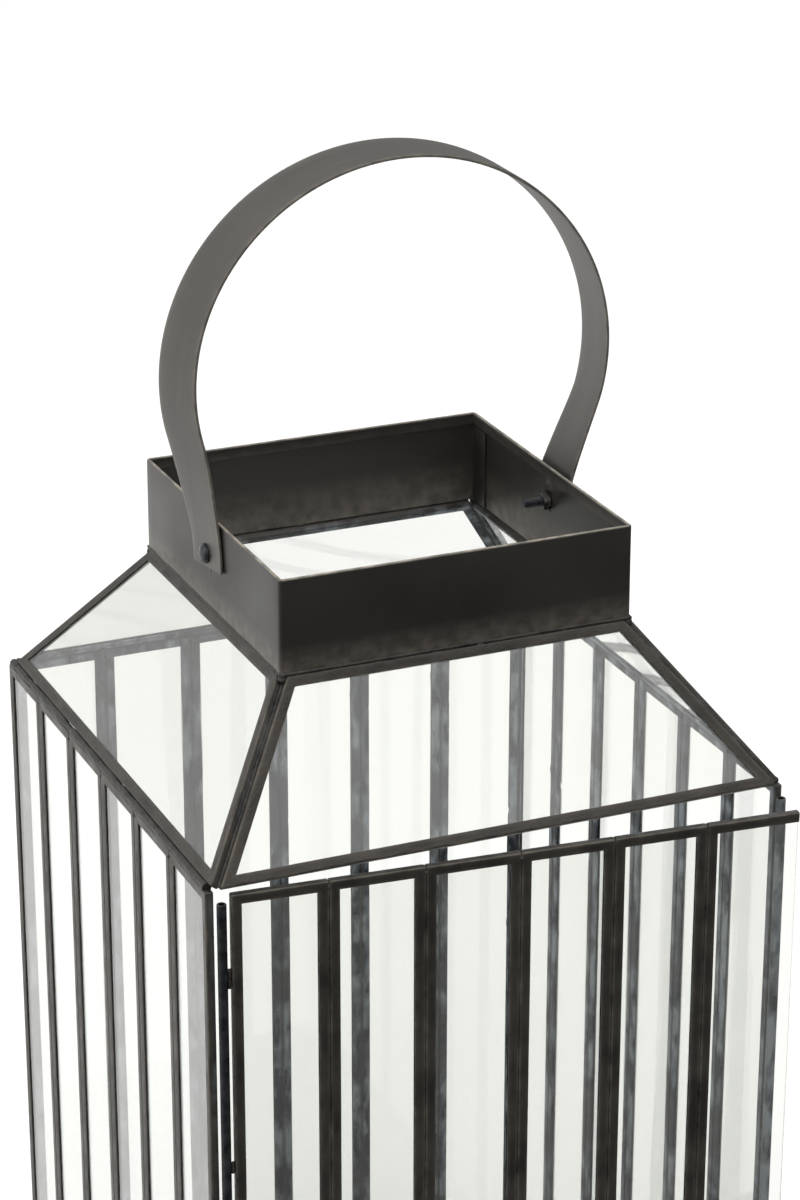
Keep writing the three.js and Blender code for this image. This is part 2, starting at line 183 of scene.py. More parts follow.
def mottle(tree, spot, scale, detail=4.0, stretch=(1, 1, 1), low=0.35, high=0.65):
    """Noise from 0 to 1, stretched along an axis and sharpened between two levels."""
    mapping = new_node(tree, "ShaderNodeMapping", {"Scale": stretch})
    texture = new_node(tree, "ShaderNodeTexNoise", {"Scale": scale, "Detail": detail})
    levels = new_node(tree, "ShaderNodeMapRange", {"From Min": low, "From Max": high})
    chain(tree, spot, mapping.inputs["Vector"], mapping.outputs[0], texture.inputs["Vector"],
          texture.outputs["Fac"], levels.inputs["Value"])
    return levels.outputs[0]


def colour_between(tree, share, first, second):
    """A colour that goes from first to second, each a colour or a socket, with share."""
    mix = new_node(tree, "ShaderNodeMix", data_type="RGBA")
    tree.links.new(share, mix.inputs["Factor"])
    for socket, colour in ((mix.inputs[6], first), (mix.inputs[7], second)):
        if isinstance(colour, bpy.types.NodeSocket):
            tree.links.new(colour, socket)
        else:
            socket.default_value = (*colour, 1)
    return mix.outputs[2]


def value_between(tree, share, first, second):
    """A number that goes from first to second with share."""
    spread = new_node(tree, "ShaderNodeMapRange", {"To Min": first, "To Max": second})
    tree.links.new(share, spread.inputs["Value"])
    return spread.outputs[0]


def product(tree, first, second):
    """The product of a socket and either another socket or a number."""
    times = new_node(tree, "ShaderNodeMath", operation="MULTIPLY")
    tree.links.new(first, times.inputs[0])
    if isinstance(second, bpy.types.NodeSocket):
        tree.links.new(second, times.inputs[1])
    else:
        times.inputs[1].default_value = second
    return times.outputs[0]


def marked(tree, name):
    """How far a point carries one of the piece's own marks, such as a worn edge."""
    return new_node(tree, "ShaderNodeAttribute", attribute_name=name).outputs["Fac"]


def bumped(tree, shader, relief, strength, depth):
    bump = new_node(tree, "ShaderNodeBump", {"Strength": strength, "Distance": depth})
    chain(tree, relief, bump.inputs["Height"], bump.outputs[0], shader.inputs["Normal"])


def painted(tree, shader, colour, roughness, relief, strength, depth, metallic, specular=0.5):
    """Gives a metal its colour, its roughness and a fine relief."""
    chain(tree, colour, shader.inputs["Base Color"], roughness, shader.inputs["Roughness"])
    shader.inputs["Metallic"].default_value = metallic
    shader.inputs["Specular IOR Level"].default_value = specular
    bumped(tree, shader, relief, strength, depth)


def came_finish():
    made, tree, shader, spot = blank_material("blackened_came")
    patina = colour_between(tree, mottle(tree, spot, 55), (0.020, 0.0175, 0.0145), (0.042, 0.037, 0.030))
    rubbed = mottle(tree, spot, 120, 3, low=0.3, high=0.7)
    wear = product(tree, marked(tree, "edge"), rubbed)
    outer = colour_between(tree, wear, patina, (0.115, 0.103, 0.085))
    cloudy = mottle(tree, spot, 150, 7, stretch=(1, 1, 0.45), low=0.4, high=0.62)
    tin = colour_between(tree, cloudy, (0.016, 0.021, 0.029), (0.24, 0.265, 0.285))
    blotch = mottle(tree, spot, 30, 3, low=0.5, high=0.62)
    tin = colour_between(tree, blotch, tin, (0.050, 0.054, 0.056))
    painted(tree, shader, colour_between(tree, marked(tree, "inside"), outer, tin),
            value_between(tree, rubbed, 0.36, 0.56), mottle(tree, spot, 900, 3), 0.25, 0.0004,
            metallic=0.35, specular=0.4)
    return made


came_black = came_finish()
came_half = 1.8 * mm
came_face = 4.4 * mm
came_fold = 0.7 * mm
came_sheet = 0.5 * mm


def bridged(mesh, rings):
    """Makes the faces between each closed ring of corners and the next."""
    size = len(rings[0])
    for one, two in zip(rings, rings[1:]):
        for k in range(size):
            mesh.faces.new((one[k], one[(k + 1) % size], two[(k + 1) % size], two[k]))


def folded(name, outline, radius, section, closed=True, spacing=12 * mm):
    """A sheet section carried round a flat outline that runs anticlockwise, with rounded corners.
    Each section point is (inward, up, edge, inside): its distance inside the outline and above its
    plane, and how far it is a worn edge and an inner face."""
    count = len(outline)
    runs = [(outline[(i + 1) % count] - outline[i]).normalized() for i in range(count)]
    inward = [Vector((-run.y, run.x)) for run in runs]
    rows = []
    for i, corner in enumerate(outline):
        if not closed and i in (0, count - 1):
            normal = inward[0] if i == 0 else inward[i - 1]
            rows.append([corner + normal * point[0] for point in section])
            continue
        before, after = inward[i - 1], inward[i]
        mitre = (before + after) / (1 + before.dot(after))
        steps = 5
        for step in range(steps + 1):
            t = step / steps
            outward = -(before.slerp(after, t)) if before.angle(after) > 1e-4 else -after
            row = []
            for point in section:
                if point[0] < radius:
                    row.append(corner + mitre * radius + outward * (radius - point[0]))
                else:
                    row.append(corner + mitre * point[0])
            rows.append(row)
    filled = []
    last = len(rows) if closed else len(rows) - 1
    for i in range(last):
        here, there = rows[i], rows[(i + 1) % len(rows)]
        filled.append(here)
        pieces = max(1, round((there[0] - here[0]).length / spacing))
        for k in range(1, pieces):
            filled.append([a.lerp(b, k / pieces) for a, b in zip(here, there)])
    if not closed:
        filled.append(rows[-1])
    mesh = bmesh.new()
    edge_layer = mesh.verts.layers.float.new("edge")
    inside_layer = mesh.verts.layers.float.new("inside")
    rings = []
    for row in filled:
        ring = []
        for spot, point in zip(row, section):
            vertex = mesh.verts.new((spot.x, spot.y, point[1]))
            vertex[edge_layer] = point[2]
            vertex[inside_layer] = point[3]
            ring.append(vertex)
        rings.append(ring)
    if closed:
        bridged(mesh, rings + rings[:1])
    else:
        bridged(mesh, rings)
        mesh.faces.new(rings[0])
        mesh.faces.new(list(reversed(rings[-1])))
    bmesh.ops.remove_doubles(mesh, verts=mesh.verts, dist=1e-6)
    bmesh.ops.recalc_face_normals(mesh, faces=mesh.faces)
    return shown(name, mesh)


def shown(name, mesh, sharp=40):
    """Turns a bmesh into an object of the scene, smooth but for the edges sharper than an angle."""
    for face in mesh.faces:
        face.smooth = True
    for line in mesh.edges:
        line.smooth = not (line.is_manifold and line.calc_face_angle(0) > math.radians(sharp))
    made = added(name, bpy.data.meshes.new(name))
    mesh.to_mesh(made.data)
    mesh.free()
    return made


def came_section():
    """The U of the came: its front flange, the fold round the web, its back flange, its inside."""
    arc = [math.radians(22.5 * i) for i in range(5)]
    fold = [(came_fold * (1 - math.sin(a)), came_half - came_fold * (1 - math.cos(a))) for a in arc]
    worn = (0.4, 0.8, 1.0, 0.8, 0.4)
    flange = [(came_face, 1.22 * mm, 1.0), (4.3 * mm, 1.48 * mm, 0.9), (4.05 * mm, 1.58 * mm, 0.3),
              (2.6 * mm, 1.7 * mm, 0.0), (1.2 * mm, 1.79 * mm, 0.1)]
    front = flange + [(u, w, e) for (u, w), e in zip(fold, worn)]
    points = [(u, w, e, 0.0) for u, w, e in front]
    points += [(u, -w, 0.5 * e, 1.0 if u > came_fold else 0.4) for u, w, e in reversed(front)]
    channel = came_half - came_sheet
    points += [(came_face - 0.02 * mm, -1.05 * mm, 0.0, 1.0), (0.8 * mm, -channel, 0.0, 1.0),
               (0.8 * mm, channel, 0.0, 1.0), (came_face - 0.02 * mm, 1.05 * mm, 0.0, 0.0)]
    return points


def node_tree(name, inputs):
    """An empty geometry tree with a geometry input, the named inputs and a geometry output."""
    tree = bpy.data.node_groups.new(name, "GeometryNodeTree")
    tree.interface.new_socket("Geometry", in_out="INPUT", socket_type="NodeSocketGeometry")
    for label, kind in inputs:
        tree.interface.new_socket(label, in_out="INPUT", socket_type="NodeSocket" + kind)
    tree.interface.new_socket("Geometry", in_out="OUTPUT", socket_type="NodeSocketGeometry")
    return tree, tree.nodes.new("NodeGroupInput"), tree.nodes.new("NodeGroupOutput")


def unevenness(tree, given, scale):
    """Nodes for a small wander of the surface, from the inputs Wander and Seed."""
    spot = new_node(tree, "GeometryNodeInputPosition")
    texture = new_node(tree, "ShaderNodeTexNoise", {"Scale": scale, "Detail": 1}, noise_dimensions="4D")
    centred = new_node(tree, "ShaderNodeVectorMath", {1: (0.5, 0.5, 0.5)}, operation="SUBTRACT")
    scaled = new_node(tree, "ShaderNodeVectorMath", operation="SCALE")
    move = new_node(tree, "GeometryNodeSetPosition")
    chain(tree, spot.outputs[0], texture.inputs["Vector"], given.outputs["Seed"], texture.inputs["W"],
          texture.outputs["Color"], centred.inputs[0], centred.outputs[0], scaled.inputs[0],
          given.outputs["Wander"], scaled.inputs["Scale"], scaled.outputs[0], move.inputs["Offset"])
    return move


def repeat_tree():
    """Repeats a piece along X, and lets its surface wander a little, as hand-folded strip does."""
    tree, given, result = node_tree("row_of_strips", [
        ("Count", "Int"), ("Pitch", "Float"), ("Wander", "Float"), ("Seed", "Float"),
        ("Finish", "Material"),
    ])
    step = new_node(tree, "ShaderNodeCombineXYZ")
    line = new_node(tree, "GeometryNodeMeshLine")
    copies = new_node(tree, "GeometryNodeInstanceOnPoints")
    real = new_node(tree, "GeometryNodeRealizeInstances")
    wander = unevenness(tree, given, 28)
    paint = new_node(tree, "GeometryNodeSetMaterial")
    chain(tree, given.outputs["Pitch"], step.inputs["X"], step.outputs[0], line.inputs["Offset"],
          given.outputs["Count"], line.inputs["Count"], line.outputs[0], copies.inputs["Points"],
          given.outputs["Geometry"], copies.inputs["Instance"], copies.outputs[0], real.inputs[0],
          real.outputs[0], wander.inputs["Geometry"], wander.outputs[0], paint.inputs["Geometry"],
          given.outputs["Finish"], paint.inputs["Material"], paint.outputs[0], result.inputs[0])
    return tree


def plain_mesh(piece):
    """The mesh that an object's modifiers or its curve make of it."""
    return bpy.data.meshes.new_from_object(piece.evaluated_get(bpy.context.evaluated_depsgraph_get()))


def grown(piece, tree, **values):
    """The piece after a geometry tree with these inputs, as a plain mesh with no modifier."""
    modifier = piece.modifiers.new(tree.name, "NODES")
    modifier.node_group = tree
    for socket in tree.interface.items_tree:
        if socket.in_out == "INPUT" and socket.name in values:
            modifier[socket.identifier] = values[socket.name]
    mesh = plain_mesh(piece)
    name = piece.name
    bpy.data.objects.remove(piece)
    mesh.name = name
    return added(name, mesh)


def joined(name, pieces):
    """Several plain pieces of one finish as one."""
    mesh = bmesh.new()
    for piece in pieces:
        mesh.from_mesh(piece.data)
    finish = [each for each in pieces[0].data.materials if each][0]
    for piece in pieces:
        bpy.data.objects.remove(piece)
    for face in mesh.faces:
        face.material_index = 0
    made = added(name, bpy.data.meshes.new(name))
    mesh.to_mesh(made.data)
    mesh.free()
    made.data.materials.append(finish)
    return made


def stood(piece, origin, across, up):
    """Moves a piece's mesh from the flat, with its X across, its Y up and its Z outwards."""
    across, up = Vector(across).normalized(), Vector(up).normalized()
    placed = Matrix((across, up, across.cross(up))).transposed().to_4x4()
    piece.data.transform(Matrix.Translation(origin) @ placed)
    return piece


def kept(piece, body, slot, *nodes):
    """Lets a piece ride on a body and stand for some nodes, whose parts it hides. The slot is not used."""
    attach(piece, body)
    if nodes:
        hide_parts(*nodes)
    return piece


row_of_strips = repeat_tree()
strips = sum(1 for name in frame["nodes"] if name.startswith("door_glass"))
joint_line = 0.03 * mm


def strip_outline(left, width, height, bare=False):
    """The outer line of one strip's came, open down its right side where the glass is bare."""
    gap = joint_line
    corners = [(left + gap, gap), (left + width - gap, gap),
               (left + width - gap, height - gap), (left + gap, height - gap)]
    if bare:
        corners = [(left + width, height - gap), (left + gap, height - gap),
                   (left + gap, gap), (left + width, gap)]
    return [Vector(corner) for corner in corners]


def strip_wall(name, width, height, seed, bare=False):
    """A flat row of strips, each with its own folded came."""
    pitch = width / strips
    one = folded(name, strip_outline(0, pitch, height), came_fold, came_section())
    row = grown(one, row_of_strips, Count=strips - bare, Pitch=pitch, Wander=0.16 * mm, Seed=seed,
                Finish=came_black)
    if not bare:
        return row
    end = folded(name + "_end", strip_outline((strips - 1) * pitch, pitch, height, True),
                 came_fold, came_section(), closed=False)
    end = grown(end, row_of_strips, Count=1, Pitch=0.0, Wander=0.16 * mm, Seed=seed, Finish=came_black)
    return joined(name, [row, end])


# ---- Glazed walls -------------------------------------------------------------------------------
# Two side walls and a back wall, each six tall strips of glass in folded came, soldered side by
# side. They stand on the ground line, the back wall between the side walls.

ground_up = (0, 0, 1)
for side, outward in (("left_wall", Vector((-1, 0, 0))), ("right_wall", Vector((1, 0, 0))),
                      ("back_wall", Vector((0, 1, 0)))):
    low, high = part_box(side + "_frame")
    along = Vector(ground_up).cross(outward)
    middle, span = (low + high) / 2, high - low
    wide = abs(span.dot(along))
    origin = middle - along * wide / 2 - Vector(ground_up) * span.z / 2
    wall = strip_wall(side + "_came", wide, span.z, seed=1.0 + len(side))
    kept(stood(wall, origin, along, ground_up), "lantern", "blackened_came", side + "_frame")

# ---- Door ---------------------------------------------------------------------------------------
# A sixth glazed panel in front of the open side, hung on its left edge and standing a few degrees
# ajar. Its last strip has no came down the free side, only the polished edge of the glass.

hinge_place = Vector(joints["door_hinge"]["pos_m"])
ajar = -math.radians(joints["door_hinge"]["range_deg"][0])
to_hinge = Matrix.Translation(hinge_place)
shut_to_ajar = to_hinge @ Matrix.Rotation(-ajar, 4, "Z") @ to_hinge.inverted()


def shut_box(node):
    """The lowest and highest corners of a door node once the door is turned shut."""
    back_turn = shut_to_ajar.inverted()
    spots = [back_turn @ vertex.co for vertex in frame["nodes"][node].data.vertices]
    return (Vector(min(spot[k] for spot in spots) for k in range(3)),
            Vector(max(spot[k] for spot in spots) for k in range(3)))


door_low, door_high = shut_box("door_frame")
door = strip_wall("door_came", shut_box("door_glass_%d" % strips)[1].x - door_low.x,
                  door_high.z - door_low.z, seed=9.0, bare=True)
stood(door, (door_low.x, (door_low.y + door_high.y) / 2, door_low.z), (1, 0, 0), ground_up)
door.data.transform(shut_to_ajar)
kept(door, "door", "blackened_came", "door_frame")

# ---- Glass --------------------------------------------------------------------------------------
# Plain two millimetre sheet glass, cut to strips and to four roof panes, a little green along its
# cut edges and not quite clean.


def glass_finish():
    made, tree, shader, spot = blank_material("clear_glass")
    shader.inputs["Base Color"].default_value = (0.865, 0.872, 0.848, 1)
    shader.inputs["Transmission Weight"].default_value = 1
    shader.inputs["IOR"].default_value = 1.5
    smear = mottle(tree, spot, 9, 3, stretch=(1, 1, 0.35), low=0.5, high=0.8)
    tree.links.new(value_between(tree, smear, 0.0, 0.05), shader.inputs["Roughness"])
    bumped(tree, shader, mottle(tree, spot, 14, 1, stretch=(1, 1, 0.3)), 0.05, 0.002)
    light_path = new_node(tree, "ShaderNodeLightPath")
    either = new_node(tree, "ShaderNodeMath", operation="MAXIMUM")
    clear = new_node(tree, "ShaderNodeBsdfTransparent", {"Color": (0.93, 0.94, 0.93, 1)})
    lets_through = new_node(tree, "ShaderNodeMixShader")
    output = tree.nodes["Material Output"]
    chain(tree, light_path.outputs["Is Shadow Ray"], either.inputs[0],
          light_path.outputs["Is Diffuse Ray"], either.inputs[1], either.outputs[0], lets_through.inputs[0],
          shader.outputs[0], lets_through.inputs[1], clear.outputs[0], lets_through.inputs[2],
          lets_through.outputs[0], output.inputs["Surface"])
    return made


clear_glass = glass_finish()
for name, node in frame["nodes"].items():
    if "_glass" in name:
        node.data.materials.clear()
        node.data.materials.append(clear_glass)

# ---- Roof frames --------------------------------------------------------------------------------
# Four sloping panes that lean in to the collar, each in a mitred frame of the same came. Their
# square edges leave a groove along every hip, which the solder fills.

quarter = math.pi / 2


def roof_measure(node):
    """Which way a front pane's frame lies and how far it reaches, from its faces and corners."""
    mesh = frame["nodes"][node].data
    largest = max(mesh.polygons, key=lambda face: face.area)
    slope = math.atan2(abs(largest.normal.y), abs(largest.normal.z))
    up = Vector((0, math.cos(slope), math.sin(slope)))
    out = Vector((0, -math.sin(slope), math.cos(slope)))
    spots = [vertex.co for vertex in mesh.vertices]
    face = max(spot.dot(out) for spot in spots)
    outer = [spot for spot in spots if spot.dot(out) > face - 0.1 * mm]
    low, high = min(spot.dot(up) for spot in outer), max(spot.dot(up) for spot in outer)
    foot = max(spot.x for spot in outer if spot.dot(up) < low + 0.1 * mm)
    head = max(spot.x for spot in outer if spot.dot(up) > high - 0.1 * mm)
    return up, out, face, low, high, foot, head


roof_front = roof_measure("roof_front_frame")
roof_up, roof_out, roof_face, roof_low, roof_high, roof_foot, roof_head = roof_front
roof_origin = roof_out * (roof_face - came_half) + roof_up * roof_low
for number, side in enumerate(("front", "right", "back", "left")):
    slant = roof_high - roof_low
    outline = [Vector((-roof_foot, 0)), Vector((roof_foot, 0)),
               Vector((roof_head, slant)), Vector((-roof_head, slant))]
    pane = folded("roof_%s_came" % side, outline, came_fold, came_section())
    pane = grown(pane, row_of_strips, Count=1, Pitch=0.0, Wander=0.22 * mm, Seed=20.0 + number,
                 Finish=came_black)
    stood(pane, roof_origin, (1, 0, 0), roof_up)
    pane.data.transform(Matrix.Rotation(number * quarter, 4, "Z"))
    kept(pane, "lantern", "blackened_came", "roof_%s_frame" % side)

# ---- Solder -------------------------------------------------------------------------------------
# Blackened tin solder, run by hand along the hips, the corner posts, the eaves and the collar's
# foot, and dropped in a bead wherever two strips of came meet.


def solder_finish():
    made, tree, shader, spot = blank_material("blackened_solder")
    patches = mottle(tree, spot, 120, 4)
    colour = colour_between(tree, patches, (0.022, 0.021, 0.020), (0.060, 0.057, 0.052))
    bright = mottle(tree, spot, 420, 2, low=0.6, high=0.8)
    painted(tree, shader, colour_between(tree, bright, colour, (0.09, 0.086, 0.078)),
            value_between(tree, patches, 0.42, 0.6), mottle(tree, spot, 500, 3), 0.35, 0.0006,
            metallic=0.6)
    return made


def bead_tree():
    """A round bead along each line, its thickness and its line wandering a little."""
    tree, given, result = node_tree("run_of_solder", [
        ("Thickness", "Float"), ("Wander", "Float"), ("Seed", "Float"), ("Finish", "Material"),
    ])
    line = new_node(tree, "GeometryNodeMeshToCurve")
    dense = new_node(tree, "GeometryNodeResampleCurve", {"Length": 2.2 * mm}, mode="LENGTH")
    wander = unevenness(tree, given, 140)
    spot = new_node(tree, "GeometryNodeInputPosition")
    swell = new_node(tree, "ShaderNodeTexNoise", {"Scale": 90}, noise_dimensions="4D")
    share = new_node(tree, "ShaderNodeMapRange",
                     {"From Min": 0.3, "From Max": 0.7, "To Min": 0.75, "To Max": 1.2})
    ring = new_node(tree, "GeometryNodeCurvePrimitiveCircle", {"Resolution": 12})
    tube = new_node(tree, "GeometryNodeCurveToMesh", {"Fill Caps": True})
    real = new_node(tree, "GeometryNodeRealizeInstances")
    smooth = new_node(tree, "GeometryNodeSetShadeSmooth")
    paint = new_node(tree, "GeometryNodeSetMaterial")
    chain(tree, given.outputs["Geometry"], line.inputs[0], line.outputs[0], dense.inputs["Curve"],
          dense.outputs[0], wander.inputs["Geometry"], wander.outputs[0], tube.inputs["Curve"],
          spot.outputs[0], swell.inputs["Vector"], given.outputs["Seed"], swell.inputs["W"],
          swell.outputs["Fac"], share.inputs["Value"], share.outputs[0], tube.inputs["Scale"],
          given.outputs["Thickness"], ring.inputs["Radius"], ring.outputs["Curve"],
          tube.inputs["Profile Curve"], tube.outputs[0], real.inputs[0], real.outputs[0],
          smooth.inputs["Geometry"], smooth.outputs[0], paint.inputs["Geometry"],
          given.outputs["Finish"], paint.inputs["Material"], paint.outputs[0], result.inputs[0])
    return tree


def drop_tree():
    """A flattened drop on every point, each of its own size and turn."""
    tree, given, result = node_tree("drops_of_solder", [
        ("Size", "Float"), ("Wander", "Float"), ("Seed", "Float"), ("Finish", "Material"),
    ])
    whole = new_node(tree, "FunctionNodeFloatToInt")
    size = new_node(tree, "FunctionNodeRandomValue", {0: (0.75, 0.75, 0.7), 1: (1.25, 1.25, 1.5)},
                data_type="FLOAT_VECTOR")
    drop = new_node(tree, "GeometryNodeMeshIcoSphere", {"Subdivisions": 3})
    copies = new_node(tree, "GeometryNodeInstanceOnPoints")
    real = new_node(tree, "GeometryNodeRealizeInstances")
    wander = unevenness(tree, given, 420)
    smooth = new_node(tree, "GeometryNodeSetShadeSmooth")
    paint = new_node(tree, "GeometryNodeSetMaterial")
    chain(tree, given.outputs["Seed"], whole.inputs[0], whole.outputs[0], size.inputs["Seed"],
          given.outputs["Size"], drop.inputs["Radius"], drop.outputs["Mesh"], copies.inputs["Instance"],
          given.outputs["Geometry"], copies.inputs["Points"], size.outputs[0], copies.inputs["Scale"],
          copies.outputs[0], real.inputs[0], real.outputs[0], wander.inputs["Geometry"],
          wander.outputs[0], smooth.inputs["Geometry"], smooth.outputs[0], paint.inputs["Geometry"],
          given.outputs["Finish"], paint.inputs["Material"], paint.outputs[0], result.inputs[0])
    return tree


def lines(name, paths):
    """An object with only lines, one through each list of points."""
    made = added(name, bpy.data.meshes.new(name))
    spots, edges = [], []
    for path in paths:
        edges += [(len(spots) + k, len(spots) + k + 1) for k in range(len(path) - 1)]
        spots += [tuple(spot) for spot in path]
    made.data.from_pydata(spots, edges, [])
    return made


solder = solder_finish()
run_of_solder = bead_tree()
drops_of_solder = drop_tree()


def run(name, paths, thickness, wander, seed):
    return grown(lines(name, paths), run_of_solder,
                 Thickness=thickness, Wander=wander, Seed=seed, Finish=solder)


def drops(name, spots, size, seed):
    return grown(lines(name, [[spot] for spot in spots]), drops_of_solder,
                 Size=size, Wander=0.5 * size, Seed=seed, Finish=solder)


collar_low, collar_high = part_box("collar")
walls_low, walls_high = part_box("left_wall_frame")
back_low, back_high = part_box("back_wall_frame")
right_low, right_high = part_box("right_wall_frame")


def round_quarters(spots):
    """The same run of points on all four sides of the roof."""
    return [[Matrix.Rotation(k * quarter, 3, "Z") @ spot for spot in spots] for k in range(4)]


# The bead lies along the bottom of the hip's groove, where the two frames' inner edges meet.
hip_foot = roof_origin + Vector((roof_foot, 0, 0))
hip_head = roof_origin + Vector((roof_head, 0, 0)) + roof_up * (roof_high - roof_low)


def on_diagonal(spot, sunk):
    """The point of the hip's groove level with a frame's corner, sunk below it."""
    reach = max(abs(spot.x), abs(spot.y))
    return Vector((reach - sunk, -(reach - sunk), spot.z))


hip_sunk = 2.0 * mm
hip_line = [on_diagonal(hip_foot, hip_sunk), on_diagonal(hip_head, hip_sunk)]
hips = run("hip_solder", round_quarters(hip_line), 0.8 * mm, 0.2 * mm, 3.0)
seat = walls_high.z + 0.8 * mm
seat_front = 3 * mm
corner = Vector((walls_low.x + came_half, back_high.y - came_half, 0))
top_lines = [
    [Vector((walls_low.x + came_half, walls_low.y + seat_front, seat)), Vector((corner.x, corner.y, seat))],
    [Vector((corner.x + came_half, corner.y, seat)), Vector((-corner.x - came_half, corner.y, seat))],
    [Vector((-corner.x, corner.y, seat)),
     Vector((right_high.x - came_half, right_low.y + seat_front, seat))],
]
seats = run("eaves_solder", top_lines, 1.75 * mm, 0.35 * mm, 5.0)
posts = run("post_solder", [
    [Vector((sign * (-back_low.x + 0.15 * mm), back_low.y + 0.3 * mm, z))
     for z in (18 * mm, walls_high.z - 2 * mm)]
    for sign in (-1, 1)
], 0.9 * mm, 0.3 * mm, 7.0)
foot_half = (collar_high.x - collar_low.x) / 2 - 0.2 * mm
foot_line = [Vector((sx * foot_half, sy * foot_half, collar_low.z + 0.1 * mm))
             for sx, sy in ((-1, -1), (1, -1), (1, 1), (-1, 1), (-1, -1))]
collar_foot = run("collar_solder", [foot_line], 0.75 * mm, 0.25 * mm, 11.0)
foot_corners = drops("collar_corner_solder", [
    Vector((sx * (foot_half - 0.9 * mm), sy * (foot_half - 0.9 * mm), collar_low.z - depth))
    for sx in (-1, 1) for sy in (-1, 1) for depth in (0.3 * mm, 2.0 * mm)
], 1.7 * mm, 41.0)


seam_end = 2.6 * mm
seam_out = 1.45 * mm


def seam_spots(low, high, span, place):
    """Where strips meet, at the top and the foot of a wall, on both of its faces."""
    pitch = span / strips
    return [place(k * pitch, z, side * seam_out) for k in range(1, strips)
            for z in (low + seam_end, high - seam_end) for side in (-1, 1)]


side_drops = []
for low, high in ((walls_low, walls_high), (right_low, right_high)):
    wall_x = (low.x + high.x) / 2
    side_drops += seam_spots(low.z, high.z, high.y - low.y,
                             lambda along, z, out: Vector((wall_x + out, low.y + along, z)))
wall_y = (back_low.y + back_high.y) / 2
side_drops += seam_spots(back_low.z, back_high.z, back_high.x - back_low.x,
                         lambda along, z, out: Vector((back_low.x + along, wall_y + out, z)))
wall_drops = drops("wall_solder_drops", side_drops, 0.95 * mm, 13.0)
body_solder = joined("body_solder", [hips, seats, posts, collar_foot, foot_corners, wall_drops])
kept(body_solder, "lantern", "blackened_came")

door_middle = (door_low.y + door_high.y) / 2
door_pitch = (shut_box("door_glass_%d" % strips)[1].x - door_low.x) / strips
door_ends = ((door_low.z + seam_end, -1), (door_high.z - seam_end, -1), (door_high.z - seam_end, 1))
door_spots = [shut_to_ajar @ Vector((door_low.x + k * door_pitch, door_middle + side * seam_out, z))
              for k in range(1, strips) for z, side in door_ends]
kept(drops("door_solder", door_spots, 0.85 * mm, 17.0), "door", "blackened_came")

# ---- Collar -------------------------------------------------------------------------------------
# The open chimney: one strip of steel folded to a square, its ends lapped inside the back right
# corner and its rim turned down on the inside. The black has rubbed off along the rim.


def sheet_finish(name, dark, light, rubbed_colour, roughness, metallic):
    made, tree, shader, spot = blank_material(name)
    clouds = mottle(tree, spot, 16, 5)
    grain = mottle(tree, spot, 300, 3, stretch=(1, 1, 0.06))
    colour = colour_between(tree, clouds, dark, light)
    colour = colour_between(tree, product(tree, grain, 0.12), colour, light)
    patchy = value_between(tree, mottle(tree, spot, 180, 3), 0.35, 1.0)
    rubbed = product(tree, marked(tree, "edge"), patchy)
    painted(tree, shader, colour_between(tree, rubbed, colour, rubbed_colour),
            value_between(tree, clouds, roughness - 0.05, roughness + 0.07), grain, 0.05, 0.0002,
            metallic=metallic, specular=0.75)
    return made


black_sheet = sheet_finish("blackened_sheet", (0.017, 0.0150, 0.0125), (0.027, 0.0240, 0.0200),
                           (0.36, 0.32, 0.26), 0.46, 0.45)
collar_sheet = 1 * mm
hem_fall = 5 * mm
hem_sheet = 0.8 * mm
bolt_height = Vector(joints["handle_swing"]["pos_m"]).z


def collar_section(rise):
    """Up the outside, over the rolled rim, down the hem, under its edge and down the inside."""
    roll = (collar_sheet + hem_sheet) / 2
    turns = [math.radians(30 * k) for k in range(7)]
    over = [(roll - roll * math.cos(a), rise - roll + roll * math.sin(a)) for a in turns]
    worn = (0.0, 0.2, 0.9, 1.0, 0.8, 0.1, 0.0)
    points = [(0.0, 0.0, 0.3, 0.0), (0.0, rise * 0.3, 0.0, 0.0), (0.0, rise * 0.6, 0.0, 0.0)]
    points += [(u, w, e, 0.0) for (u, w), e in zip(over, worn)]
    hem = rise - hem_fall
    points += [(2 * roll, hem, 0.1, 0.0), (2 * roll - 0.25 * mm, hem - 0.2 * mm, 0.0, 0.0),
               (collar_sheet, hem - 0.1 * mm, 0.0, 0.0), (collar_sheet, rise * 0.5, 0.0, 0.0),
               (collar_sheet, 0.0, 0.3, 0.0)]
    return points


def cut(piece, tool):
    """Cuts one closed piece out of another."""
    modifier = piece.modifiers.new("cut", "BOOLEAN")
    modifier.object, modifier.operation, modifier.solver = tool, "DIFFERENCE", "EXACT"
    mesh = plain_mesh(piece)
    piece.modifiers.remove(modifier)
    piece.data = mesh
    bpy.data.objects.remove(tool)


def round_bar(name, radius, start, end, sides=32):
    """A plain round bar between two points."""
    mesh = bmesh.new()
    length = (end - start).length
    bmesh.ops.create_cone(mesh, cap_ends=True, segments=sides,
                          radius1=radius, radius2=radius, depth=length)
    turn = (end - start).to_track_quat("Z", "Y").to_matrix().to_4x4()
    bmesh.ops.transform(mesh, verts=mesh.verts, matrix=Matrix.Translation((start + end) / 2) @ turn)
    return shown(name, mesh)


